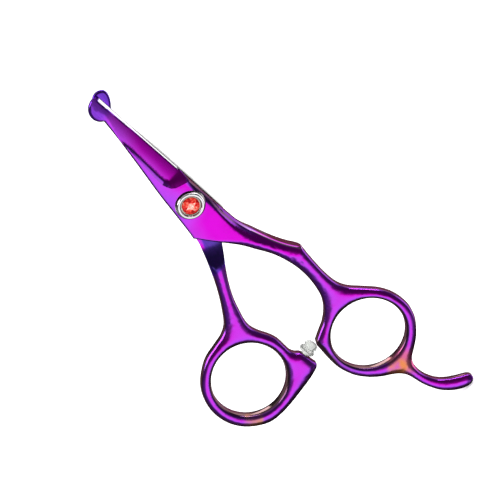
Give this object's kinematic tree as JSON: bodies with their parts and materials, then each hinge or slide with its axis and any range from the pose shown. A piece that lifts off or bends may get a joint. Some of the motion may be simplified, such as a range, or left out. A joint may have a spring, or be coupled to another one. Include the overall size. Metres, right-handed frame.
{
  "type": "grooming scissors",
  "caption": "Straight-bladed hair scissors with rounded safety tips, a finger rest, a ring bumper and a jewelled tension screw.",
  "frame": {"origin": "on the pivot axis, at the flat back face of the pivot nut", "axes": "+Z from the rings towards the blade tips, +X towards the finger ring with the finger rest, -Y towards the jewel side"},
  "size_m": [0.0622, 0.0069, 0.1439],
  "materials": {
    "coated_steel": "mirror-polished steel with a violet to magenta coating",
    "polished_steel": "polished",
    "setting_metal": "bright pressed metal",
    "red_stone": "cut and faceted, foil backed",
    "spring_steel": "satin",
    "nylon": "natural, satin",
    "nut_steel": "turned and polished",
    "clear_plastic": "clear, moulded"
  },
  "bodies": {
    "thumb_half": {"thumb_blade": "coated_steel", "pivot_nut": "nut_steel", "bumper": "clear_plastic"},
    "finger_half": {"finger_blade": "coated_steel", "pivot_bushing": "nylon"},
    "washers": {"nylon_washer": "nylon", "spring_washer": "spring_steel"},
    "tension_screw": {"pivot_screw": "polished_steel", "gem_cup": "setting_metal", "gem": "red_stone"}
  },
  "joints": [
    {"name": "blade_pivot", "type": "hinge", "parent": "thumb_half", "child": "finger_half", "pos_m": [0, 0, 0], "axis": [0, -1, 0], "range_deg": [0, 90]},
    {"name": "screw_travel", "type": "slide", "parent": "thumb_half", "child": "washers", "axis": [0, -1, 0], "range_m": [-0.000125, 0.000125]},
    {"name": "screw_turn", "type": "hinge", "parent": "washers", "child": "tension_screw", "pos_m": [0, 0, 0], "axis": [0, -1, 0], "range_deg": [-90, 90]}
  ],
  "couplings": [
    {"joint": "screw_turn", "follows": "screw_travel", "rad_per_m": 12566}
  ]
}
